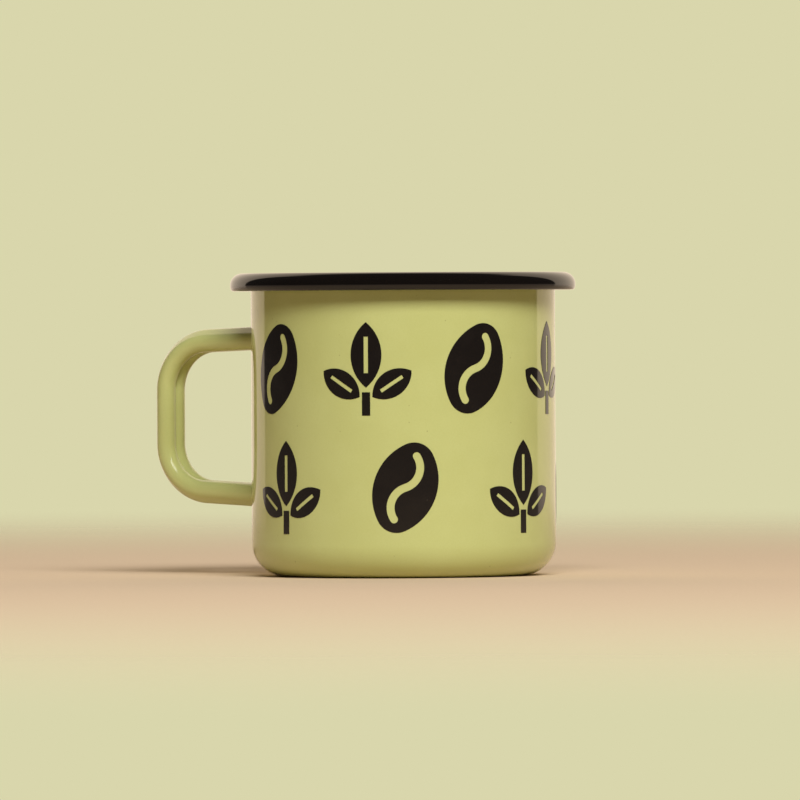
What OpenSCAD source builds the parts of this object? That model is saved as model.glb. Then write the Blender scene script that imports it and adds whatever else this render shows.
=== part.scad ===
// Enamelled steel mug: a drawn cup with a rolled rim, a rolled-strip handle welded on,
// glass coats fired over both, and two rows of print fired on to the wall.
// The origin is at the centre of the standing ring, +Z is up and the handle is on -X.

/* [Body] */
// Outer radius of the wall, over the enamel
body_r = 40; // [37:0.5:46]
// Height from the standing ring to the top of the rim
body_h = 79.7; // [76:0.1:100]
// Radius of the lower outer corner
corner_r = 8.8; // [6:0.1:10]
// Thickness of the cup's sheet steel
cup_t = 0.5; // [0.4:0.05:0.6]
// Thickness of one coat of enamel
coat_t = 0.15; // [0.1:0.01:0.2]

/* [Base] */
// Radius where the standing ring turns up into the recess
ring_r = 28.5; // [26:0.1:30]
// Depth of the recess under the base
recess_h = 1.2; // [0.8:0.1:1.6]
// Bending radius at the recess's edge
recess_bend = 2.5; // [2:0.1:3]

/* [Rim] */
// How far the rolled bead stands out past the wall
bead_w = 5.45; // [4:0.05:6]
// Height of the rolled bead
bead_h = 4.7; // [4.2:0.1:5.5]
// Radius of the bead's outer round
bead_outer_r = 3.2; // [3:0.05:3.6]
// Radius of the bead's lower outer corner
bead_lower_r = 0.8; // [0.7:0.05:1]
// Radius where the inside wall turns over into the bead
bead_inner_r = 2.4; // [1.8:0.1:2.8]
// Gap left between the wall and the curled edge, under the coat
curl_gap = 0.3; // [0.1:0.05:0.5]

/* [Handle] */
// Distance from the mug's axis to the middle of the handle's leg
handle_reach = 72; // [66:0.1:80]
// Thickness of the rolled strip, over the enamel
handle_t = 6.1; // [5:0.1:7]
// Width of the rolled strip, over the enamel
handle_w = 9.8; // [9:0.1:10.5]
// Radius of the strip's two outer corners, over the enamel
handle_outer_r = 3.05; // [2.5:0.05:3.2]
// Width of the flat face between the outer corners
handle_flat = 0.7; // [0.4:0.1:1.2]
// Radius of the two rolled edges on the side that faces the mug, over the enamel
handle_lobe_r = 2.5; // [2.3:0.05:2.6]
// Radius at the bottom of the groove between the rolled edges
handle_groove_r = 0.6; // [0.5:0.05:0.8]
// Height of the upper bar's middle at the wall
handle_top_z = 62.8; // [58:0.1:64]
// Height of the lower bar's middle at the wall
handle_low_z = 20.8; // [18:0.1:24]
// Bending radius of the upper corner, at the strip's middle
handle_top_bend = 13.2; // [10:0.1:16]
// Bending radius of the lower corner, at the strip's middle
handle_low_bend = 12.9; // [10:0.1:16]
// Slope of the upper bar, down and away from the wall
handle_top_slope = 2.3; // [0:0.1:5]
// Slope of the lower bar, up and away from the wall
handle_low_slope = 3.1; // [0:0.1:5]
// Thickness of the handle's sheet steel
strip_t = 0.6; // [0.5:0.05:0.7]
// Width of the seam where the strip's rolled edges meet
seam_w = 0.6; // [0.4:0.1:1]
// Length of the weld between the strip's end and the cup
weld_l = 1.2; // [0.8:0.1:2]

/* [Print] */
// Height of each row of print
motif_h = 24.3; // [20:0.1:26]
// Height of the lower row's middle
low_row_z = 23.7; // [22:0.1:26]
// Height of the upper row's middle
high_row_z = 54.6; // [50:0.1:58]
// Motifs in the upper row
high_row_count = 7; // [5:1:7]
// Motifs in the lower row
low_row_count = 6; // [4:1:6]
// Thickness of the fired print
print_t = 0.1; // [0.08:0.01:0.15]

/* [Hidden] */
$fn = 96;
shell_t = coat_t + cup_t + coat_t;
steel_r = body_r - coat_t;
bore_r = body_r - shell_t;
bead_z = body_h - bead_h;
far = 2 * body_r;
eps = 0.01;
// Rounds and flats that meet smoothly overlap by this much, which joins them cleanly
lap = 0.005;

// Centres of the two arcs that join the standing ring to the raised base
recess_rise = 2 * recess_bend - recess_h;
recess_r = ring_r - sqrt(4 * recess_bend * recess_bend - recess_rise * recess_rise);

// Centres of the rolled bead's three rounds: inner, outer and lower
inner_x = bore_r + bead_inner_r;
inner_z = body_h - bead_inner_r;
outer_x = body_r + bead_w - bead_outer_r;
outer_z = body_h - bead_outer_r;
lower_z = bead_z + bead_lower_r;
lower_reach = bead_outer_r - bead_lower_r;
lower_x = outer_x + sqrt(lower_reach * lower_reach - (outer_z - lower_z) * (outer_z - lower_z));

// Centres of the strip's outer corners, rolled edges and groove; +x is away from the mug
outer_face_x = handle_t / 2 - handle_outer_r;
outer_face_y = handle_flat / 2;
lobe_x = handle_lobe_r - handle_t / 2;
lobe_y = handle_w / 2 - handle_lobe_r;
groove_reach = handle_lobe_r + handle_groove_r;
groove_x = lobe_x - sqrt(groove_reach * groove_reach - lobe_y * lobe_y);

// Direction, from +x, in which the flat flanks between corner and rolled edge face
flank = atan2(outer_face_y - lobe_y, outer_face_x - lobe_x)
    + acos((handle_lobe_r - handle_outer_r)
        / norm([outer_face_x - lobe_x, outer_face_y - lobe_y]));

// Centres of the handle's two corners, to 0.01 mm so that the leg meets them exactly
corner_top_x = handle_top_bend - handle_reach;
corner_low_x = handle_low_bend - handle_reach;
corner_top_z = tidy(handle_top_z + (corner_top_x + body_r) * tan(handle_top_slope)
    - handle_top_bend / cos(handle_top_slope));
corner_low_z = tidy(handle_low_z - (corner_low_x + body_r) * tan(handle_low_slope)
    + handle_low_bend / cos(handle_low_slope));

// The sloping bars are this much fuller than the corners and reach as far into them,
// which makes a clean step where they join
bar_step = 0.01;
$fuller = 0;

function tidy(length) = round(length * 100) / 100;

// The print's first angle and pitch in each row, with 0 on +X, opposite the handle
high_row_start = -116;
high_row_pitch = 42;
low_row_start = -110;
low_row_pitch = 50.6;

// Half-section of the whole cup as a filled shape, set in by depth from the outer surface
module cup_fill(depth) {
    translate([0, corner_r]) square([body_r - depth, body_h]);
    translate([body_r - corner_r, corner_r]) circle(corner_r - depth);
    translate([ring_r, depth]) square([body_r - corner_r - ring_r, corner_r]);
    translate([ring_r, recess_bend]) circle(recess_bend - depth);
    translate([0, recess_bend]) square([ring_r, corner_r]);
    difference() {
        polygon([[0, recess_h - recess_bend], [recess_r, recess_h - recess_bend],
            [ring_r, recess_bend], [0, recess_bend]]);
        square([recess_r, 2 * (recess_h + depth)], center = true);
        translate([0, recess_h - 2 * recess_bend]) square([recess_r, 2 * recess_bend + depth]);
        translate([recess_r, recess_h - recess_bend]) circle(recess_bend + depth);
    }
}

// The cup's sheet or one of its coats, between two depths, up to the bead
module cup_layer(outer_depth, inner_depth) {
    intersection() {
        difference() {
            cup_fill(outer_depth);
            cup_fill(inner_depth);
        }
        square([far, bead_z + coat_t]);
    }
}

// Half-section of the rolled bead as a filled shape, set in by depth
module bead_fill(depth) {
    intersection() {
        translate([inner_x, inner_z]) circle(bead_inner_r - depth);
        translate([0, inner_z]) square([inner_x, far]);
    }
    intersection() {
        translate([outer_x, outer_z]) circle(bead_outer_r - depth);
        polygon([[outer_x, outer_z], [outer_x, far * 2],
            [outer_x + 2 * (lower_x - outer_x), far * 2],
            [outer_x + 2 * (lower_x - outer_x), outer_z - 2 * (outer_z - lower_z)]]);
    }
    translate([lower_x, lower_z]) circle(bead_lower_r - depth);
    polygon([[bore_r + depth, bead_z + depth], [lower_x, bead_z + depth], [lower_x, outer_z],
        [outer_x, outer_z], [outer_x, body_h - depth], [inner_x, body_h - depth],
        [inner_x, inner_z], [bore_r + depth, inner_z]]);
}

// The handle's cross-section, set in by depth; +x is the side away from the mug
module strip_fill(depth) {
    outer_r = handle_outer_r - depth + $fuller;
    edge_r = handle_lobe_r - depth + $fuller;
    way = [cos(flank), sin(flank)];
    half = [[outer_face_x + outer_r - lap, outer_face_y],
        [outer_face_x, outer_face_y] + (outer_r - lap) * way,
        [lobe_x, lobe_y] + (edge_r - lap) * way, [lobe_x, lobe_y]];
    difference() {
        polygon(concat(half, [[groove_x, 0]], [for (i = [3 : -1 : 0]) [half[i].x, -half[i].y]]));
        translate([groove_x, 0]) circle(handle_groove_r + depth - $fuller + lap);
    }
    for (side = [-1, 1]) {
        translate([outer_face_x, side * outer_face_y]) circle(outer_r);
        translate([lobe_x, side * lobe_y]) circle(edge_r);
    }
}

// Sweeps a cross-section along one straight stretch from a point, at a heading about Y
module straight(x, z, heading, length) {
    translate([x, 0, z]) rotate([0, heading, 0]) linear_extrude(length) children();
}

// Sweeps a cross-section round one corner of the handle
module corner(x, z, bend, start, sweep) {
    translate([x, 0, z]) rotate([90, 0, 0])
        rotate_extrude(angle = sweep, start = start) translate([bend, 0]) children();
}

// The upper bar, from inside the wall to the upper corner
module upper_bar() {
    start_x = -body_r + 4;
    start_z = handle_top_z + 4 * tan(handle_top_slope);
    end_x = corner_top_x - handle_top_bend * sin(handle_top_slope);
    straight(start_x, start_z, -90 - handle_top_slope,
        (start_x - end_x) / cos(handle_top_slope) + bar_step) let ($fuller = bar_step) children();
}

// The lower bar, from the lower corner to inside the wall
module lower_bar() {
    start_x = corner_low_x - handle_low_bend * sin(handle_low_slope) - bar_step;
    start_z = corner_low_z - handle_low_bend * cos(handle_low_slope);
    end_x = -body_r + 4;
    straight(start_x, start_z, 90 + handle_low_slope,
        (end_x - start_x) / cos(handle_low_slope)) let ($fuller = bar_step) children();
}

// The whole D of the handle: two bars, two corners and the leg
module handle_sweep() {
    upper_bar() children();
    corner(corner_top_x, corner_top_z, handle_top_bend, 90 + handle_top_slope,
        90 - handle_top_slope) children();
    straight(-handle_reach, corner_top_z, 180, corner_top_z - corner_low_z) children();
    corner(corner_low_x, corner_low_z, handle_low_bend, 180, 90 - handle_low_slope) children();
    lower_bar() children();
}

// A coffee bean seen from its flat side, with its curved slit
module bean() {
    bean_w = motif_h * 0.68;
    end_r = motif_h * 0.22;
    end_y = motif_h / 2 - end_r;
    side_r = (bean_w * bean_w / 4 + end_y * end_y - end_r * end_r) / (bean_w - 2 * end_r);
    cheek_y = end_y * side_r / (side_r - end_r);
    slit_w = motif_h * 0.085;
    slit_l = motif_h * 0.36;
    slit_bow = motif_h * 0.09;
    slit_r = (slit_l * slit_l / 4 + slit_bow * slit_bow) / (2 * slit_bow);
    difference() {
        union() {
            intersection() {
                translate([bean_w / 2 - side_r, 0]) circle(side_r);
                translate([side_r - bean_w / 2, 0]) circle(side_r);
                square([bean_w, 2 * cheek_y], center = true);
            }
            for (end = [-1, 1]) {
                translate([0, end * end_y]) circle(end_r);
            }
        }
        for (turn = [0, 180]) {
            rotate(turn) {
                translate([slit_bow - slit_r, slit_l / 2]) intersection() {
                    difference() {
                        circle(slit_r + slit_w / 2);
                        circle(slit_r - slit_w / 2);
                    }
                    polygon([[0, 0], 2 * [slit_r - slit_bow, -slit_l / 2],
                        2 * [slit_r - slit_bow, slit_l / 2]]);
                }
                translate([0, slit_l]) circle(slit_w / 2);
            }
        }
    }
}

// A pointed leaf that grows up from the origin, with its midrib left open
module leaf(leaf_l, leaf_w) {
    arc_r = (leaf_l * leaf_l + leaf_w * leaf_w) / (4 * leaf_w);
    rib_w = leaf_w * 0.14;
    difference() {
        intersection() {
            translate([leaf_w / 2 - arc_r, leaf_l / 2]) circle(arc_r);
            translate([arc_r - leaf_w / 2, leaf_l / 2]) circle(arc_r);
        }
        translate([-rib_w / 2, leaf_l * 0.22]) square([rib_w, leaf_l * 0.56]);
    }
}

// A sprig of three leaves above a short stem, parted by narrow gaps as a stencil is
module sprig() {
    stem_w = motif_h * 0.09;
    translate([-stem_w / 2, -motif_h / 2]) square([stem_w, motif_h * 0.25]);
    translate([0, -motif_h * 0.2]) leaf(motif_h * 0.7, motif_h * 0.34);
    for (side = [-1, 1]) {
        translate([side * motif_h * 0.07, -motif_h * 0.3]) rotate(-side * 56)
            leaf(motif_h * 0.5, motif_h * 0.28);
    }
}

// One row of print: beans and sprigs in turn, wrapped on the wall
module print_row(row_z, count, start, pitch, first) {
    intersection() {
        translate([0, 0, row_z - motif_h]) difference() {
            cylinder(h = 2 * motif_h, r = body_r + print_t);
            translate([0, 0, -eps]) cylinder(h = 2 * motif_h + 2 * eps, r = body_r);
        }
        union() {
            for (i = [0 : count - 1]) {
                rotate([0, 0, start + i * pitch]) translate([body_r / 2, 0, row_z])
                    rotate([90, 0, 90]) linear_extrude(body_r) {
                        if ((i + first) % 2 == 0) rotate(-20) bean();
                        else sprig();
                    }
            }
        }
    }
}

module steel_cup() {
    color("silver") rotate_extrude() {
        cup_layer(coat_t, coat_t + cup_t);
        difference() {
            bead_fill(coat_t);
            bead_fill(coat_t + cup_t);
            translate([steel_r, bead_z]) square([curl_gap, coat_t + cup_t + eps]);
        }
    }
}

module handle_strip() {
    color("silver") difference() {
        handle_sweep() difference() {
            strip_fill(coat_t);
            strip_fill(coat_t + strip_t);
            translate([-handle_t, -seam_w / 2]) square([handle_t, seam_w]);
        }
        cylinder(h = body_h, r = steel_r + weld_l);
    }
}

// One weld: it fills the end of the strip's outline, from the cup's steel outward
module weld_slug() {
    intersection() {
        children();
        difference() {
            cylinder(h = body_h, r = steel_r + weld_l);
            translate([0, 0, -eps]) cylinder(h = body_h + 2 * eps, r = steel_r);
        }
    }
}

module upper_weld() {
    color("dimgray") weld_slug() upper_bar() strip_fill(coat_t);
}

module lower_weld() {
    color("dimgray") weld_slug() lower_bar() strip_fill(coat_t);
}

module outside_enamel() {
    color("darkkhaki") difference() {
        rotate_extrude() intersection() {
            cup_layer(0, coat_t);
            translate([body_r - corner_r, 0]) square([far, far]);
        }
        upper_bar() strip_fill(coat_t);
        lower_bar() strip_fill(coat_t);
    }
}

module base_enamel() {
    color("darkkhaki") rotate_extrude() intersection() {
        cup_layer(0, coat_t);
        square([body_r - corner_r, corner_r]);
    }
}

module inside_enamel() {
    color("ivory") rotate_extrude() cup_layer(coat_t + cup_t, shell_t);
}

module rim_enamel() {
    color("black") rotate_extrude() difference() {
        bead_fill(0);
        bead_fill(coat_t);
        translate([0, bead_z - eps]) square([body_r, coat_t + eps]);
    }
}

module handle_enamel() {
    color("darkkhaki") difference() {
        handle_sweep() difference() {
            strip_fill(0);
            strip_fill(coat_t);
        }
        cylinder(h = body_h, r = body_r);
    }
}

module upper_print_row() {
    color("black") print_row(high_row_z, high_row_count, high_row_start, high_row_pitch, 0);
}

module lower_print_row() {
    color("black") print_row(low_row_z, low_row_count, low_row_start, low_row_pitch, 1);
}

steel_cup();
handle_strip();
upper_weld();
lower_weld();
outside_enamel();
base_enamel();
inside_enamel();
rim_enamel();
handle_enamel();
upper_print_row();
lower_print_row();
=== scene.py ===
# %% [markdown]
# # An enamelled steel mug
#
# The mug is a drawn steel cup with its edge rolled outward, a handle of rolled strip welded to the
# wall, and coats of coloured glass fired over both. The CAD model gives the place and size of each
# piece. Every piece is rebuilt here as a fine mesh, from sizes read off the CAD boxes, because a
# glossy coat shows each facet of a coarse one.

import math

import bmesh
import bpy
from mathutils import Matrix, Vector


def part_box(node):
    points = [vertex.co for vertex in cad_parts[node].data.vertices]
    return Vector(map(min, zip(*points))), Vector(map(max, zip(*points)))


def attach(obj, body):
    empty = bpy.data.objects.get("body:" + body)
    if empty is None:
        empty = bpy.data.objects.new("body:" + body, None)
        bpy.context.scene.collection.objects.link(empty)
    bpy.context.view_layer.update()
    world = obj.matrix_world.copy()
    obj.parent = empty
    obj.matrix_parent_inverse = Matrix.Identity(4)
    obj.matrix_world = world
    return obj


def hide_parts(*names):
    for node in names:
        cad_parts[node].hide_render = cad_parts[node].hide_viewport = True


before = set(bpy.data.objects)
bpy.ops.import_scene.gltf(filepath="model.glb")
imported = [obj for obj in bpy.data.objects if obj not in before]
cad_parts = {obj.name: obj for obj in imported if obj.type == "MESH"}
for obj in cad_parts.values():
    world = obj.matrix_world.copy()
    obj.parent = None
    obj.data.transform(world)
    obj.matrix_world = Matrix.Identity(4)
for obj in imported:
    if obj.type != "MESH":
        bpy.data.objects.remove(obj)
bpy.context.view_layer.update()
MM = 0.001
print("CAD nodes:", ", ".join(sorted(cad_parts)))

# %% [markdown]
# ## The camera
#
# The mug is seen from a little above its middle, from far away with a long lens, so that its sides
# stay nearly parallel. The azimuth is measured from the front, which looks along +Y. The camera leans
# by a third of a degree, as a hand-set one does.

# %% Place the camera
VIEW_AZIMUTH = math.radians(30)
VIEW_DISTANCE = 3.0
VIEW_HEIGHT = 67.3 * MM
AIM_HEIGHT = 46.2 * MM
AIM_ASIDE = 0.88 * MM
LEAN = 0.0053

to_camera = Vector((math.sin(VIEW_AZIMUTH), -math.cos(VIEW_AZIMUTH), 0))
to_right = Vector((math.cos(VIEW_AZIMUTH), math.sin(VIEW_AZIMUTH), 0))
camera_data = bpy.data.cameras.new("camera")
camera_data.lens = 513
camera_data.sensor_width = 36
camera = bpy.data.objects.new("camera", camera_data)
camera.location = to_camera * VIEW_DISTANCE + Vector((0, 0, VIEW_HEIGHT))
aim = Vector((0, 0, AIM_HEIGHT)) - to_right * AIM_ASIDE
look = (aim - camera.location).to_track_quat("-Z", "Y").to_matrix().to_4x4()
camera.matrix_world = Matrix.Translation(camera.location) @ look @ Matrix.Rotation(-LEAN, 4, "Z")
bpy.context.scene.collection.objects.link(camera)
bpy.context.scene.camera = camera
print(f"camera {VIEW_DISTANCE} m away, lens {camera_data.lens:.0f} mm")

# %% [markdown]
# ## Sizes
#
# The boxes of the CAD nodes hold most of the mug's sizes. The wall's radius is how far the outside
# coat reaches, the lower corner's radius is what the base coat leaves of it, and each weld's box has
# a bar of the handle at its middle, though the bars' heights are given below. Thicknesses and bending
# radii show in no box, so they are given.

# %% Read the driving sizes
wall_lo, wall_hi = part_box("outside_enamel")
base_lo, base_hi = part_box("base_enamel")
rim_lo, rim_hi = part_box("rim_enamel")
grip_lo, grip_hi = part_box("handle_enamel")

COAT = 0.15 * MM
SHEET = 0.5 * MM
STRIP = 0.6 * MM
BODY_R = wall_hi.x
STEEL_R = BODY_R - COAT
BORE_R = BODY_R - SHEET - 2 * COAT
CORNER_R = BODY_R - base_hi.x
RECESS_H = base_hi.z - COAT
RECESS_BEND = 2.5 * MM
RING_R = 28.5 * MM
TOP_Z = rim_hi.z
BEAD_Z = rim_lo.z
BEAD_OUTER_R = 3.2 * MM
BEAD_LOWER_R = 0.8 * MM
BEAD_INNER_R = 2.4 * MM
CURL_GAP = 0.3 * MM
print(f"wall radius {BODY_R / MM:.2f} mm, rim radius {rim_hi.x / MM:.2f} mm, height {TOP_Z / MM:.2f} mm")


# %% [markdown]
# ## Round shapes from one outline
#
# The cup, its coats and the bead are turned shapes: one closed outline in the XZ plane, spun a full
# turn about Z. Both faces of a coat come from the same line at two depths, so a coat has an even
# thickness and lies face to face with the steel under it.

# %% Outline helpers
TURN_STEPS = 240
CREASE = 40
print(f"a full turn takes {TURN_STEPS} steps, edges past {CREASE} degrees stay sharp")


def arc(centre, radius, start, stop, steps):
    """Points along an arc between two angles in degrees, both ends included."""
    points = []
    for i in range(steps + 1):
        angle = math.radians(start + (stop - start) * i / steps)
        points.append((centre[0] + radius * math.cos(angle), centre[1] + radius * math.sin(angle)))
    return points


def without_repeats(points):
    """The points, without any that repeats the one before it."""
    kept = [points[0]]
    for point in points[1:]:
        if math.dist(point, kept[-1]) > 1e-7:
            kept.append(point)
    return kept


def make_piece(name, bm):
    """An object from a bmesh: doubles merged, normals outward, smooth but for its sharp edges."""
    bmesh.ops.remove_doubles(bm, verts=bm.verts, dist=1e-7)
    bmesh.ops.recalc_face_normals(bm, faces=bm.faces)
    for face in bm.faces:
        face.smooth = True
    for edge in bm.edges:
        edge.smooth = edge.calc_face_angle(0) < math.radians(CREASE)
    open_edges = sum(not edge.is_manifold for edge in bm.edges)
    mesh = bpy.data.meshes.new(name)
    bm.to_mesh(mesh)
    bm.free()
    piece = bpy.data.objects.new(name, mesh)
    bpy.context.scene.collection.objects.link(piece)
    print(f"{name}: {len(mesh.vertices)} vertices, {len(mesh.polygons)} faces, {open_edges} open edges")
    return piece


def turned(name, outline):
    """A closed outline, or an open one that starts and ends on the axis, spun about Z."""
    bm = bmesh.new()
    points = without_repeats(outline)
    verts = [bm.verts.new((x, 0, z)) for x, z in points]
    edges = [bm.edges.new(pair) for pair in zip(verts, verts[1:])]
    if points[0][0] > 0:
        edges.append(bm.edges.new((verts[-1], verts[0])))
    bmesh.ops.spin(
        bm, geom=verts + edges, axis=(0, 0, 1), angle=math.tau, steps=TURN_STEPS, use_merge=True
    )
    return make_piece(name, bm)


# %% [markdown]
# ## The wall and the bead
#
# Pressing leaves the base raised inside a standing ring, which two arcs of opposite bend join. The
# wall's line runs from the axis, over the ring and up the wall. The bead's line goes up the inside,
# over a narrow flat crown, round and back to the wall.

# %% Lines of the wall and the bead
ramp_rise = 2 * RECESS_BEND - RECESS_H
RECESS_R = RING_R - math.sqrt(4 * RECESS_BEND**2 - ramp_rise**2)
RAMP_ANGLE = math.degrees(math.atan2(ramp_rise, RING_R - RECESS_R))

inner_centre = (BORE_R + BEAD_INNER_R, TOP_Z - BEAD_INNER_R)
outer_centre = (rim_hi.x - BEAD_OUTER_R, TOP_Z - BEAD_OUTER_R)
lower_reach = BEAD_OUTER_R - BEAD_LOWER_R
lower_drop = outer_centre[1] - BEAD_Z - BEAD_LOWER_R
LOWER_ANGLE = -math.degrees(math.asin(lower_drop / lower_reach))
lower_centre = (
    outer_centre[0] + math.sqrt(lower_reach**2 - lower_drop**2),
    outer_centre[1] - lower_drop,
)
print(f"recess {RECESS_H / MM:.2f} mm deep, its flat ends at radius {RECESS_R / MM:.1f} mm")


def wall_line(depth, top_z):
    """The cup's surface at a depth below its outer one, from the axis to a height on the wall."""
    line = [(0, RECESS_H + depth)]
    line += arc((RECESS_R, RECESS_H - RECESS_BEND), RECESS_BEND + depth, 90, RAMP_ANGLE, 8)
    line += arc((RING_R, RECESS_BEND), RECESS_BEND - depth, 180 + RAMP_ANGLE, 270, 8)
    line += arc((BODY_R - CORNER_R, CORNER_R), CORNER_R - depth, 270, 360, 24)
    return line + [(BODY_R - depth, top_z)]


def bead_line(depth, start_z, end_x):
    """The bead's surface at a depth: up the inside wall, over the crown and back underneath."""
    line = [(BORE_R + depth, start_z)]
    line += arc(inner_centre, BEAD_INNER_R - depth, 180, 90, 14)
    line += arc(outer_centre, BEAD_OUTER_R - depth, 90, LOWER_ANGLE, 20)
    line += arc(lower_centre, BEAD_LOWER_R - depth, LOWER_ANGLE, -90, 10)
    return line + [(end_x, BEAD_Z + depth)]


# %% [markdown]
# ## The cup and its coats
#
# On a real mug the steel is drawn and curled first, then dipped, fired, and dipped again for the rim.
# The steel is the space between two lines 0.5 mm apart, and each coat the space between two lines
# 0.15 mm apart over its own stretch: outside, base, inside and rim. One outline each is turned.

# %% Turn the steel cup
join_z = BEAD_Z + COAT
inside_depth = COAT + SHEET
curl_x = STEEL_R + CURL_GAP
steel_line = wall_line(COAT, BEAD_Z + inside_depth)
steel_line += bead_line(inside_depth, BEAD_Z + inside_depth, curl_x)[1:]
steel_line += bead_line(COAT, join_z, curl_x)[::-1]
steel_line += wall_line(inside_depth, join_z)[:-1][::-1]
steel_cup = turned("cup_steel", steel_line)

# %% Turn the four coats
SHARED = 1e-6
corner_x = BODY_R - CORNER_R
outer_face = wall_line(0, join_z)
inner_face = wall_line(COAT, join_z)
outside_line = [p for p in outer_face if p[0] > corner_x - SHARED]
outside_line += [p for p in inner_face if p[0] > corner_x - SHARED][::-1]
outside_coat = turned("cup_outside_enamel", outside_line)

base_line = [p for p in outer_face if p[0] < corner_x + SHARED]
base_line += [p for p in inner_face if p[0] < corner_x + SHARED][::-1]
base_coat = turned("cup_base_enamel", base_line)

inside_line = wall_line(inside_depth, join_z) + wall_line(inside_depth + COAT, join_z)[::-1]
inside_coat = turned("cup_inside_enamel", inside_line)

rim_line = bead_line(0, join_z, BODY_R) + bead_line(COAT, join_z, BODY_R)[::-1]
rim_coat = turned("cup_rim_enamel", rim_line)

# %% [markdown]
# ## The handle
#
# The handle is one strip, rolled until its long edges meet on the side that faces the mug. That
# leaves two round lobes with a groove between them. A curve with a bevel could make the D, but its
# ends would be square. So one cross-section is swept along the D: spin bends it round the two corners
# and extrude draws the leg and the bars between them.

# %% The strip's path
GRIP_T = 6.1 * MM
GRIP_REACH = -grip_lo.x - GRIP_T / 2
TOP_BEND = 13.2 * MM
LOW_BEND = 12.9 * MM
TOP_SLOPE = math.radians(2.3)
LOW_SLOPE = math.radians(3.1)
TOP_BAR_Z = 62.8 * MM
LOW_BAR_Z = 20.8 * MM

top_x = TOP_BEND - GRIP_REACH
low_x = LOW_BEND - GRIP_REACH
top_z = TOP_BAR_Z + (top_x + BODY_R) * math.tan(TOP_SLOPE) - TOP_BEND / math.cos(TOP_SLOPE)
low_z = LOW_BAR_Z - (low_x + BODY_R) * math.tan(LOW_SLOPE) + LOW_BEND / math.cos(LOW_SLOPE)
top_heading = Vector((math.cos(TOP_SLOPE), 0, math.sin(TOP_SLOPE)))
low_heading = Vector((math.cos(LOW_SLOPE), 0, -math.sin(LOW_SLOPE)))
print(f"leg {GRIP_REACH / MM:.1f} mm from the axis, from {low_z / MM:.1f} to {top_z / MM:.1f} mm high")

# %% [markdown]
# ### The cross-section
#
# Half of the outline is three arcs that flow into each other: the outer corner, the rolled edge, and
# the groove, which bends the other way. A straight flank parts the first two. Any depth below the
# surface keeps the same centres and changes only the radii, so coat and steel stay parallel.

# %% The strip's cross-section
OUTER_R = 3.05 * MM
OUTER_ASIDE = 0.35 * MM
LOBE_R = 2.5 * MM
GROOVE_R = 0.6 * MM
outer_c = Vector((GRIP_T / 2 - OUTER_R, OUTER_ASIDE))
lobe_c = Vector((LOBE_R - GRIP_T / 2, grip_hi.y - LOBE_R))
groove_c = Vector((lobe_c.x - math.sqrt((LOBE_R + GROOVE_R) ** 2 - lobe_c.y**2), 0))
apart = outer_c - lobe_c
FLANK = math.degrees(math.atan2(apart.y, apart.x) + math.acos((LOBE_R - OUTER_R) / apart.length))
MEET = math.degrees(math.atan2(lobe_c.y, lobe_c.x - groove_c.x))
print(f"strip {2 * grip_hi.y / MM:.1f} by {GRIP_T / MM:.1f} mm, its flanks lean {FLANK:.0f} degrees")


def strip_section(depth):
    """The strip's closed outline at a depth: x is away from the mug, y across, the groove at -x."""
    half = arc(outer_c, OUTER_R - depth, 0, FLANK, 16)
    half += arc(lobe_c, LOBE_R - depth, FLANK, 180 + MEET, 20)
    half += arc(groove_c, GROOVE_R + depth, MEET, 0, 6)[1:]
    return half + [(x, -y) for x, y in half[-2::-1]]


# %% [markdown]
# ### Rings of edges
#
# The sweep grows ring by ring. One helper draws a ring on by a vector, one bends it on about a
# corner, one grows it outward, and one slides each point along the bar until the ring lies on a
# cylinder about the axis, which gives the bar's end the wall's own curve.


# %% Move and grow a ring
def slide_to_wall(edges, heading, radius, back):
    """Moves a ring along its bar until it is a distance back from a cylinder about the axis."""
    for vert in {v for edge in edges for v in edge.verts}:
        travel = (-math.sqrt(radius**2 - vert.co.y**2) - vert.co.x) / heading.x
        vert.co += heading * (travel - back)


def draw_on(bm, edges, move):
    """Extrudes a ring of edges by a vector and returns the new ring."""
    made = bmesh.ops.extrude_edge_only(bm, edges=edges)["geom"]
    verts = [item for item in made if isinstance(item, bmesh.types.BMVert)]
    bmesh.ops.translate(bm, verts=verts, vec=move)
    return [e for e in made if isinstance(e, bmesh.types.BMEdge) and set(e.verts) <= set(verts)]


def bend_on(bm, edges, pivot, angle, steps):
    """Spins a ring of edges about a corner's pivot and returns the last ring."""
    verts = list({v for edge in edges for v in edge.verts})
    made = bmesh.ops.spin(
        bm, geom=edges + verts, cent=pivot, axis=(0, 1, 0), angle=angle, steps=steps
    )
    return [item for item in made["geom_last"] if isinstance(item, bmesh.types.BMEdge)]


def spread(edges, heading, bar_z, amount):
    """Grows a ring evenly outward, across a bar that meets the wall at bar_z."""
    across = Vector((-heading.z, 0, heading.x))
    for vert in {v for edge in edges for v in edge.verts}:
        out = (vert.co - Vector((-BODY_R, 0, bar_z))).dot(across)
        side = vert.co.y - math.copysign(min(abs(vert.co.y), outer_c.y), vert.co.y)
        vert.co += (across * out + Vector((0, side, 0))).normalized() * amount


# %% [markdown]
# ### From the leg to the wall
#
# Molten enamel creeps into the corner where a bar meets the wall, so the coat's last rings spread in
# a quarter circle, a small fillet. The steel ends without one. A shell is two sweeps at two depths,
# bridged at the wall, which leaves the strip hollow as the real one is.

# %% Sweep a shell along the D
BAR_START = 5 * MM
FILLET_STEPS = 6
BEND_STEPS = 26


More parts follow.
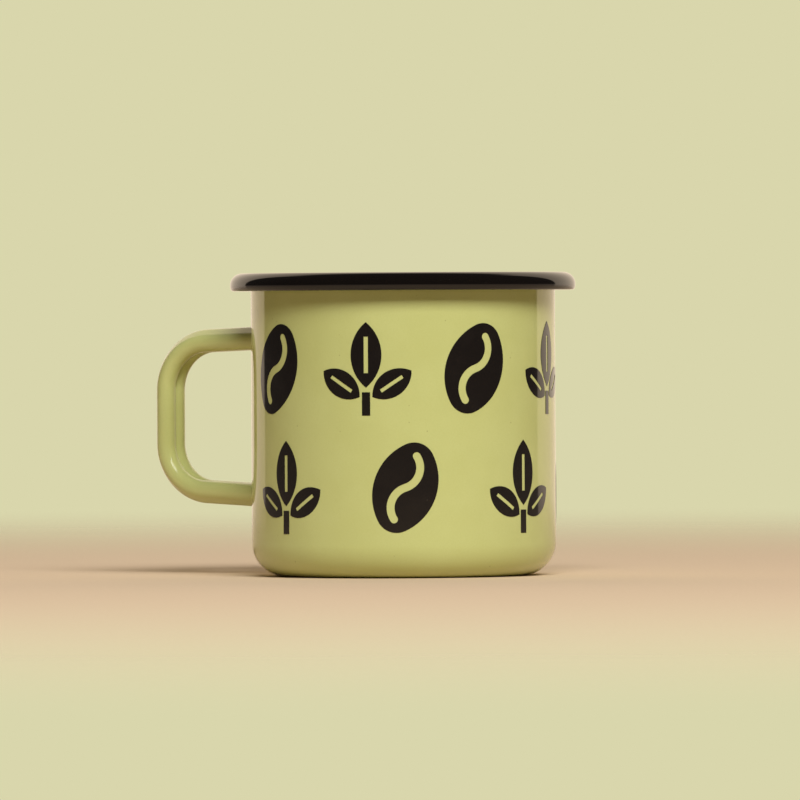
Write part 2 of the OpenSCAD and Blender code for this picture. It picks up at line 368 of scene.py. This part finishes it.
def bar_to_wall(bm, edges, heading, bar_z, radius, fillet):
    """Draws a bar on to a cylinder about the axis, ending in a fillet, and returns its last ring."""
    ring = draw_on(bm, edges, heading * BAR_START)
    slide_to_wall(ring, heading, radius, fillet)
    grown = 0
    for step in range(1, FILLET_STEPS + 1 if fillet else 0):
        turn = math.radians(90 / FILLET_STEPS * step)
        ring = draw_on(bm, ring, heading * 0)
        spread(ring, heading, bar_z, fillet * (1 - math.cos(turn)) - grown)
        slide_to_wall(ring, heading, radius, fillet * (1 - math.sin(turn)))
        grown = fillet * (1 - math.cos(turn))
    return ring


def sweep_strip(bm, depth, radius, fillet=0):
    """Sweeps the strip's outline at a depth along the whole D. Returns its two end rings."""
    start = [bm.verts.new((-GRIP_REACH - x, y, top_z)) for x, y in strip_section(depth)]
    leg_top = [bm.edges.new(pair) for pair in zip(start, start[1:] + start[:1])]
    leg_low = draw_on(bm, leg_top, Vector((0, 0, low_z - top_z)))
    top_turn = math.pi / 2 - TOP_SLOPE
    low_turn = LOW_SLOPE - math.pi / 2
    top_ring = bend_on(bm, leg_top, (top_x, 0, top_z), top_turn, BEND_STEPS)
    low_ring = bend_on(bm, leg_low, (low_x, 0, low_z), low_turn, BEND_STEPS)
    top_ring = bar_to_wall(bm, top_ring, top_heading, TOP_BAR_Z, radius, fillet)
    low_ring = bar_to_wall(bm, low_ring, low_heading, LOW_BAR_Z, radius, fillet)
    return top_ring, low_ring


def strip_shell(name, outer_depth, inner_depth, radius, fillet=0):
    """A tube between two depths along the D, closed where it meets the cylinder."""
    bm = bmesh.new()
    outer_ends = sweep_strip(bm, outer_depth, radius, fillet)
    inner_ends = sweep_strip(bm, inner_depth, radius)
    for outer_ring, inner_ring in zip(outer_ends, inner_ends):
        bmesh.ops.bridge_loops(bm, edges=outer_ring + inner_ring)
    return make_piece(name, bm)


# %% Sweep the steel strip and its coat
FILLET = 0.9 * MM
WELD_L = 1.2 * MM
handle_coat = strip_shell("handle_coat_enamel", 0, COAT, BODY_R, FILLET)
handle_steel = strip_shell("handle_steel_strip", COAT, COAT + STRIP, STEEL_R + WELD_L)

# %% [markdown]
# ## The welds
#
# Each end of the strip is welded to the cup. The weld fills the strip's outline from the cup's steel
# to the strip's end: one ring on the steel, drawn out along the bar, and both ends filled.


# %% Fill the two welds
def weld(name, heading, bar_z, outward):
    """A slug of the strip's outline, from the cup's steel to the strip's end."""
    bm = bmesh.new()
    across = Vector((-heading.z, 0, heading.x)) * outward
    foot = Vector((-BODY_R, 0, bar_z))
    verts = [bm.verts.new(foot + across * x + Vector((0, y, 0))) for x, y in strip_section(COAT)]
    near = [bm.edges.new(pair) for pair in zip(verts, verts[1:] + verts[:1])]
    slide_to_wall(near, heading, STEEL_R, 0)
    far = draw_on(bm, near, heading * 0)
    slide_to_wall(far, heading, STEEL_R, WELD_L)
    for ring in (near, far):
        bmesh.ops.triangle_fill(bm, edges=ring, use_beauty=True)
    return make_piece(name, bm)


upper_weld = weld("upper_weld_slug", top_heading, TOP_BAR_Z, 1)
lower_weld = weld("lower_weld_slug", low_heading, LOW_BAR_Z, -1)

# %% [markdown]
# ## The print
#
# The motifs are laid out flat first. Outlines of arcs are filled, holes and all, and the flat sheet
# is cut into narrow upright strips, so that it bends smoothly. A picture on the wall would be simpler,
# but real outlines stay sharp up close and give the print its own thin edge.

# %% Outlines of the bean and the sprig
UPPER_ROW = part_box("upper_print_row")
LOWER_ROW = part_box("lower_print_row")
MOTIF_H = LOWER_ROW[1].z - LOWER_ROW[0].z
LOW_ROW_Z = (LOWER_ROW[0].z + LOWER_ROW[1].z) / 2
HIGH_ROW_Z = UPPER_ROW[0].z + MOTIF_H / 2
PRINT_T = 0.1 * MM
print(f"motif height {MOTIF_H / MM:.2f} mm, rows at {LOW_ROW_Z / MM:.2f} and {HIGH_ROW_Z / MM:.2f} mm")


def placed(points, turn, move=(0, 0)):
    """Flat points turned by an angle in degrees and moved."""
    c, s = math.cos(math.radians(turn)), math.sin(math.radians(turn))
    return [(x * c - y * s + move[0], x * s + y * c + move[1]) for x, y in points]


def bean_loops():
    """The outline of a coffee bean and of its curved slit."""
    end_r = MOTIF_H * 0.22
    end_y = MOTIF_H / 2 - end_r
    half_w = MOTIF_H * 0.34
    side_r = (half_w**2 + end_y**2 - end_r**2) / (2 * (half_w - end_r))
    off = side_r - half_w
    lean = math.degrees(math.atan2(end_y, off))
    outline = arc((-off, 0), side_r, -lean, lean, 24) + arc((0, end_y), end_r, lean, 180 - lean, 16)
    outline += placed(outline, 180)
    slit_w = MOTIF_H * 0.085
    slit_l = MOTIF_H * 0.36
    bow = MOTIF_H * 0.09
    slit_r = (slit_l**2 / 4 + bow**2) / (2 * bow)
    centre = (bow - slit_r, slit_l / 2)
    tip = math.degrees(math.asin(slit_l / 2 / slit_r))
    half_slit = arc(centre, slit_r + slit_w / 2, -tip, tip, 14)
    half_slit += arc((0, slit_l), slit_w / 2, tip, tip + 180, 8)
    half_slit += arc(centre, slit_r - slit_w / 2, tip, -tip, 14)
    slit = half_slit + placed(half_slit, 180)
    return [placed(outline, -20), placed(slit, -20)]


def leaf_loops(length, width, turn, move):
    """The outline of a pointed leaf and of its open midrib."""
    bow_r = (length**2 + width**2) / (4 * width)
    tip = math.degrees(math.asin(length / 2 / bow_r))
    side = arc((width / 2 - bow_r, length / 2), bow_r, -tip, tip, 16)
    rim = side + placed(side, 180, (0, length))
    rib_x = width * 0.07
    low, high = length * 0.22, length * 0.78
    rib = [(-rib_x, low), (rib_x, low), (rib_x, high), (-rib_x, high)]
    return [placed(rim, turn, move), placed(rib, turn, move)]


def sprig_loops():
    """The outlines of a short stem and three leaves, parted by narrow gaps as in a stencil."""
    h = MOTIF_H
    stem_x = h * 0.045
    loops = [[(-stem_x, -h / 2), (stem_x, -h / 2), (stem_x, -h / 4), (-stem_x, -h / 4)]]
    loops += leaf_loops(h * 0.7, h * 0.34, 0, (0, -h * 0.2))
    for side in (-1, 1):
        loops += leaf_loops(h * 0.5, h * 0.28, -side * 56, (side * h * 0.07, -h * 0.3))
    return loops


# %% [markdown]
# ### From flat to round
#
# A transfer is laid against the wall and smoothed down. Each point of a flat motif is pushed straight
# back on to the wall's cylinder, the sheet gets its thickness, and the motif is turned to its place.

# %% Wrap the two rows on the wall
STRIP_W = 0.5 * MM


def flat_motif(bm, loops):
    """Fills flat outlines standing in the YZ plane and cuts them into narrow upright strips."""
    edges = []
    for loop in loops:
        points = without_repeats(loop + loop[:1])[:-1]
        verts = [bm.verts.new((0, x, y)) for x, y in points]
        edges += [bm.edges.new(pair) for pair in zip(verts, verts[1:] + verts[:1])]
    bmesh.ops.triangle_fill(bm, edges=edges, use_beauty=True, normal=(1, 0, 0))
    reach = max(abs(v.co.y) for v in bm.verts)
    cuts = int(reach / STRIP_W)
    for i in range(-cuts, cuts + 1):
        geom = bm.verts[:] + bm.edges[:] + bm.faces[:]
        bmesh.ops.bisect_plane(bm, geom=geom, dist=1e-8, plane_co=(0, i * STRIP_W, 0), plane_no=(0, 1, 0))


def print_row(name, row_z, count, start, pitch, first):
    """One row of beans and sprigs in turn, each pushed on to the wall and given its thickness."""
    row = bmesh.new()
    for i in range(count):
        bm = bmesh.new()
        flat_motif(bm, bean_loops() if (i + first) % 2 == 0 else sprig_loops())
        raised = bmesh.ops.extrude_face_region(bm, geom=bm.faces[:])["geom"]
        raised = {item for item in raised if isinstance(item, bmesh.types.BMVert)}
        for vert in bm.verts:
            radius = BODY_R + (PRINT_T if vert in raised else 0)
            vert.co.x = math.sqrt(radius**2 - vert.co.y**2)
        turn = Matrix.Rotation(math.radians(start + i * pitch), 4, "Z")
        bmesh.ops.transform(bm, matrix=Matrix.Translation((0, 0, row_z)) @ turn, verts=bm.verts)
        motif = bpy.data.meshes.new("motif")
        bm.to_mesh(motif)
        bm.free()
        row.from_mesh(motif)
        bpy.data.meshes.remove(motif)
    return make_piece(name, row)


upper_print = print_row("upper_print", HIGH_ROW_Z, 7, -116, 42, 0)
lower_print = print_row("lower_print", LOW_ROW_Z, 6, -110, 50.6, 1)

# %% [markdown]
# ## Fired glass
#
# Enamel is coloured glass, so its colour lies under a clear, sharp gloss. Up close it isn't perfect:
# it has a soft orange peel from the firing, its tone drifts a little, fine grains of the frit show as
# specks, and handling leaves patches that are a touch less glossy. One shader group makes all of
# that, and each enamel gives it its own colours and amounts.

# %% Node helpers
def add(tree, kind, inputs=None, **settings):
    """A node with its settings, whose inputs are given as values or as other nodes' sockets."""
    made = tree.nodes.new(kind)
    for name, value in settings.items():
        setattr(made, name, value)
    for key, value in (inputs or {}).items():
        if isinstance(value, bpy.types.NodeSocket):
            tree.links.new(value, made.inputs[key])
        else:
            made.inputs[key].default_value = value
    return made


def math_node(tree, operation, a, b=0.0, clamp=False):
    return add(tree, "ShaderNodeMath", {0: a, 1: b}, operation=operation, use_clamp=clamp).outputs[0]


def ramp_node(tree, value, low, high, start=0.0, end=1.0):
    """A value eased from start to end while it goes from low to high."""
    limits = {"Value": value, "From Min": low, "From Max": high, "To Min": start, "To Max": end}
    return add(tree, "ShaderNodeMapRange", limits, interpolation_type="SMOOTHSTEP").outputs[0]


def mix_node(tree, factor, a, b, blend="MIX"):
    made = add(tree, "ShaderNodeMix", {0: factor, 6: a, 7: b}, data_type="RGBA", blend_type=blend)
    return made.outputs[2]


def noise_node(tree, where, scale, detail=2.0):
    return add(
        tree, "ShaderNodeTexNoise", {"Vector": where, "Scale": scale, "Detail": detail}
    ).outputs["Fac"]


def new_group(name, inputs, outputs):
    """A shader group with named sockets: its tree, its inputs and its output node."""
    tree = bpy.data.node_groups.new(name, "ShaderNodeTree")
    for label, kind in inputs:
        tree.interface.new_socket(label, in_out="INPUT", socket_type="NodeSocket" + kind)
    for label, kind in outputs:
        tree.interface.new_socket(label, in_out="OUTPUT", socket_type="NodeSocket" + kind)
    return tree, add(tree, "NodeGroupInput").outputs, add(tree, "NodeGroupOutput")


def fill(tree, node, values):
    for key, value in values.items():
        tree.links.new(value, node.inputs[key])


# %% The glaze group
glaze, given, result = new_group(
    "glaze",
    [("Place", "Vector"), ("Colour", "Color"), ("Deep Colour", "Color"), ("Deep", "Float"),
     ("Speck Colour", "Color"), ("Specks", "Float"), ("Gloss Roughness", "Float"), ("Peel", "Float")],
    [("Color", "Color"), ("Roughness", "Float"), ("Height", "Float")],
)
drift = ramp_node(glaze, noise_node(glaze, given["Place"], 70.0), 0.3, 0.7)
# The Deep input carries the painted shade from an enamel's height band, and the drift adds a random tone to
# it.
deep = math_node(glaze, "ADD", given["Deep"], math_node(glaze, "MULTIPLY", drift, 0.22), clamp=True)
tone = mix_node(glaze, deep, given["Colour"], given["Deep Colour"])
mottle = noise_node(glaze, given["Place"], 2600.0, 3.0)
tone = mix_node(glaze, ramp_node(glaze, mottle, 0.35, 0.75, 0.0, 0.16), tone, given["Deep Colour"])
cells = add(glaze, "ShaderNodeTexVoronoi", {"Vector": given["Place"], "Scale": 520.0})
chance = add(glaze, "ShaderNodeSeparateColor", {"Color": cells.outputs["Color"]}).outputs["Red"]
chosen = math_node(glaze, "LESS_THAN", chance, given["Specks"])
size = ramp_node(glaze, cells.outputs["Distance"], 0.07, 0.13, 1.0, 0.0)
speck = math_node(glaze, "MULTIPLY", chosen, size)
tone = mix_node(glaze, math_node(glaze, "MULTIPLY", speck, 0.4), tone, given["Speck Colour"])
smudge = ramp_node(glaze, noise_node(glaze, given["Place"], 130.0, 4.0), 0.42, 0.72, 0.0, 0.05)
rough = math_node(glaze, "ADD", given["Gloss Roughness"], smudge)
peel = noise_node(glaze, given["Place"], 420.0, 1.0)
swell = noise_node(glaze, given["Place"], 110.0, 1.0)
height = math_node(glaze, "ADD", peel, math_node(glaze, "MULTIPLY", swell, 2.5))
height = math_node(glaze, "MULTIPLY", height, given["Peel"])
fill(glaze, result, {"Color": tone, "Roughness": rough, "Height": height})
print("glaze group:", len(glaze.nodes), "nodes")


# %% [markdown]
# ### One enamel, three colours
#
# Each enamel is a Principled shader with the refraction of glass, fed by the glaze group. The lime
# enamel's colour is painted deeper at the foot and just under the rim, as painted shade. The print is
# enamel too, as glossy as the wall and nearly black.


# %% Enamels
def srgb(red, green, blue, alpha=1.0):
    """A linear colour from display values of 0 to 255."""
    parts = []
    for part in (red / 255, green / 255, blue / 255):
        parts.append(part / 12.92 if part <= 0.04045 else ((part + 0.055) / 1.055) ** 2.4)
    return (*parts, alpha)


def new_material(name):
    """A material with its tree, its Principled shader and its object coordinates."""
    material = bpy.data.materials.new(name)
    material.use_nodes = True
    tree = material.node_tree
    shader = tree.nodes["Principled BSDF"]
    place = add(tree, "ShaderNodeTexCoord").outputs["Object"]
    return material, tree, shader, place


def enamel(name, colour, deep_colour, painted_shade_band, speck_colour, specks, roughness, peel):
    """Glossy fired glass. Its colour is painted deeper, as shade, where the height is under or over the
    band.
    """
    material, tree, shader, place = new_material(name)
    z = add(tree, "ShaderNodeSeparateXYZ", {0: place}).outputs["Z"]
    # Painted shade: the colour is darkened below the band and above it, at the foot and under the rim.
    under = ramp_node(tree, z, painted_shade_band[0], painted_shade_band[1], 0.55, 0.0)
    over = ramp_node(tree, z, painted_shade_band[2], painted_shade_band[3], 0.0, 0.5)
    glass = add(tree, "ShaderNodeGroup", node_tree=glaze)
    values = {
        "Colour": colour, "Deep Colour": deep_colour, "Speck Colour": speck_colour,
        "Specks": specks, "Gloss Roughness": roughness, "Peel": peel,
    }
    for key, value in values.items():
        glass.inputs[key].default_value = value
    fill(tree, glass, {"Place": place, "Deep": math_node(tree, "ADD", under, over)})
    bump = add(tree, "ShaderNodeBump", {"Height": glass.outputs["Height"], "Distance": 1.0})
    shader.inputs["IOR"].default_value = 1.52
    fill(tree, shader, {
        "Base Color": glass.outputs["Color"],
        "Roughness": glass.outputs["Roughness"],
        "Normal": bump.outputs["Normal"],
    })
    return material


LIME = srgb(198, 203, 133)
LIME_DEEP = srgb(181, 184, 106)
# Painted shade on the lime wall: darker below 5 mm, at the foot, and above 74 mm, just under the rim.
wall_painted_shade = (0.0, 5 * MM, 74 * MM, 75.2 * MM)
no_band = (-2.0, -1.0, 1.0, 2.0)
lime_enamel = enamel(
    "lime_enamel", LIME, LIME_DEEP, wall_painted_shade, srgb(120, 112, 52), 0.08, 0.05, 1.6e-6
)
black_enamel = enamel(
    "black_enamel", srgb(15, 11, 9), srgb(9, 7, 6), no_band, srgb(52, 46, 42), 0.06, 0.045, 1.4e-6
)
white_enamel = enamel(
    "white_enamel", srgb(238, 234, 222), srgb(226, 219, 201), no_band, srgb(120, 112, 104), 0.05, 0.06, 2e-6
)
black_print = enamel(
    "black_print", srgb(24, 20, 18), srgb(16, 13, 12), no_band, srgb(60, 52, 44), 0.12, 0.07, 1.8e-6
)
print("enamels: lime, black, white and the black print")

# %% [markdown]
# ## Steel
#
# The cup, the strip and the welds are bare steel under the glass. Drawing marks the sheet with fine
# lines up the wall, and welding leaves a darker, rougher metal with heat colour.


# %% Sheet steel and weld metal
def steel(name, colour, dark, roughness, stretch):
    """Metal whose grain is stretched along Z when stretch is under 1, with darker blotches."""
    material, tree, shader, place = new_material(name)
    drawn = add(tree, "ShaderNodeMapping", {"Vector": place, "Scale": (1, 1, stretch)}).outputs[0]
    grain = noise_node(tree, drawn, 1500.0, 4.0)
    blotch = ramp_node(tree, noise_node(tree, place, 200.0, 3.0), 0.4, 0.7)
    shader.inputs["Metallic"].default_value = 1.0
    fill(tree, shader, {
        "Base Color": mix_node(tree, blotch, colour, dark),
        "Roughness": ramp_node(tree, grain, 0.3, 0.7, roughness, roughness + 0.15),
        "Normal": add(
            tree, "ShaderNodeBump", {"Height": math_node(tree, "MULTIPLY", grain, 6e-6), "Distance": 1.0}
        ).outputs["Normal"],
    })
    return material


sheet_steel = steel("sheet_steel", srgb(190, 190, 192), srgb(160, 158, 156), 0.28, 0.04)
weld_metal = steel("weld_metal", srgb(140, 134, 130), srgb(86, 74, 70), 0.5, 1.0)
print("steels: drawn sheet and weld metal")

# %% [markdown]
# ## Each piece on its body
#
# Every piece takes the place of a CAD node, rides on the mug's one body and takes its material.

# %% Dress the pieces
for piece, node, slot, material in (
    (steel_cup, "steel_cup", "steel", sheet_steel),
    (handle_steel, "handle_strip", "steel", sheet_steel),
    (upper_weld, "upper_weld", "weld", weld_metal),
    (lower_weld, "lower_weld", "weld", weld_metal),
    (outside_coat, "outside_enamel", "lime_enamel", lime_enamel),
    (base_coat, "base_enamel", "lime_enamel", lime_enamel),
    (inside_coat, "inside_enamel", "white_enamel", white_enamel),
    (rim_coat, "rim_enamel", "black_enamel", black_enamel),
    (handle_coat, "handle_enamel", "lime_enamel", lime_enamel),
    (upper_print, "upper_print_row", "black_print", black_print),
    (lower_print, "lower_print_row", "black_print", black_print),
):
    piece.data.materials.append(material)
    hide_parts(node)
    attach(piece, "root")
    print(f"{piece.name} stands for {node}, in {material.name}")

# %% [markdown]
# ## The floor
#
# The mug stands on a pale disc of paper, whose warm light fills the mug's underside. It fades out
# with distance, so that it has no edge and melts into the background.

# %% Lay the floor
FLOOR_R = 1.1
SOLID_R = 0.15
bm = bmesh.new()
bmesh.ops.create_circle(bm, cap_ends=True, radius=FLOOR_R, segments=96)
floor = make_piece("floor", bm)
paper, tree, shader, place = new_material("floor_paper")
flat = add(tree, "ShaderNodeVectorMath", {0: place}, operation="LENGTH").outputs["Value"]
tooth = noise_node(tree, place, 900.0, 3.0)
shader.inputs["Roughness"].default_value = 0.9
shader.inputs["Specular IOR Level"].default_value = 0.0
fill(tree, shader, {
    "Base Color": mix_node(
        tree, ramp_node(tree, tooth, 0.3, 0.7), srgb(228, 204, 174), srgb(232, 209, 180)
    ),
    "Alpha": ramp_node(tree, flat, SOLID_R, FLOOR_R, 1.0, 0.0),
})
floor.data.materials.append(paper)

# %% [markdown]
# ## The surroundings
#
# Gloss shows its surroundings, so they matter as much as the paint. A wide pale backdrop behind the
# mug gives the bright bands down both sides and round the rim's ends, and a dim room in front keeps
# the black print black. Both are in the world, parted by direction: the angle aside from straight
# back, and the height. The camera itself sees one plain pale tone.

# %% Set up the surroundings
world = bpy.data.worlds.new("studio")
world.use_nodes = True
tree = world.node_tree
tree.nodes.clear()
way = add(tree, "ShaderNodeTexCoord").outputs["Generated"]
back = -to_camera
along = add(tree, "ShaderNodeVectorMath", {0: way, 1: back}, operation="DOT_PRODUCT").outputs["Value"]
aside = add(tree, "ShaderNodeVectorMath", {0: way, 1: to_right}, operation="DOT_PRODUCT").outputs["Value"]
angle = math_node(tree, "ARCTAN2", aside, along)
up = add(tree, "ShaderNodeSeparateXYZ", {0: way}).outputs["Z"]
left_edge = ramp_node(tree, angle, math.radians(-50), math.radians(-48.5))
right_edge = ramp_node(tree, angle, math.radians(56), math.radians(58), 1.0, 0.0)
ceiling = ramp_node(tree, up, 0.72, 0.86, 1.0, 0.0)
behind = math_node(tree, "MULTIPLY", left_edge, right_edge)
ROOM = (0.050, 0.045, 0.040, 1)
BACKDROP = (1.12, 0.92, 0.70, 1)
NEAR_TABLE = (0.38, 0.29, 0.22, 1)
FAR_TABLE = (1.05, 0.84, 0.64, 1)
wall = mix_node(tree, math_node(tree, "MULTIPLY", behind, ceiling), ROOM, BACKDROP)
table = mix_node(tree, behind, NEAR_TABLE, FAR_TABLE)
seen = mix_node(tree, ramp_node(tree, up, -0.03, 0.0, 1.0, 0.0), wall, table)
is_camera = add(tree, "ShaderNodeLightPath").outputs["Is Camera Ray"]
colour = mix_node(tree, is_camera, seen, srgb(217, 214, 172))
glow = add(tree, "ShaderNodeBackground", {"Color": colour})
sky = add(tree, "ShaderNodeOutputWorld", {"Surface": glow.outputs[0]})
bpy.context.scene.world = world
print("world: backdrop, room and table by direction")

# %% [markdown]
# ## The lights
#
# One large soft light, above the camera and a little to its right, shapes the front and throws the
# rim's shadow on the wall. It is hidden from reflections, so the black rim stays dark. A second one
# does the opposite: it adds only gloss, and only on the handle, where the lower bend shows a small
# highlight. It hangs nearer than the first, which would otherwise stand in its way.

# %% Hang the lights

def soft_light(name, azimuth, elevation, distance, width, height, power, colour):
    """A rectangular soft light that points at the middle of the mug."""
    data = bpy.data.lights.new(name, "AREA")
    data.shape = "RECTANGLE"
    data.size = width
    data.size_y = height
    data.energy = power
    data.color = colour
    lamp = bpy.data.objects.new(name, data)
    a, e = math.radians(azimuth), math.radians(elevation)
    away = Vector((math.sin(a) * math.cos(e), -math.cos(a) * math.cos(e), math.sin(e)))
    lamp.location = Vector((0, 0, TOP_Z / 2)) + away * distance
    lamp.rotation_euler = away.to_track_quat("Z", "Y").to_euler()
    bpy.context.scene.collection.objects.link(lamp)
    return lamp


key = soft_light("key", 42.5, 38.5, 5.0, 3.2, 1.9, 258, (1.0, 0.985, 0.96))
key.visible_glossy = False
sparkle = soft_light("sparkle", 40, 39, 4.0, 2.3, 1.5, 55, (1.0, 1.0, 1.0))
sparkle.visible_diffuse = False
lit_by_sparkle = bpy.data.collections.new("lit_by_sparkle")
lit_by_sparkle.objects.link(handle_coat)
sparkle.light_linking.receiver_collection = lit_by_sparkle
bpy.context.scene.view_settings.view_transform = "Standard"
for lamp in (key, sparkle):
    print(f"{lamp.name}: {lamp.data.energy:.0f} W, {lamp.location.length:.1f} m away")
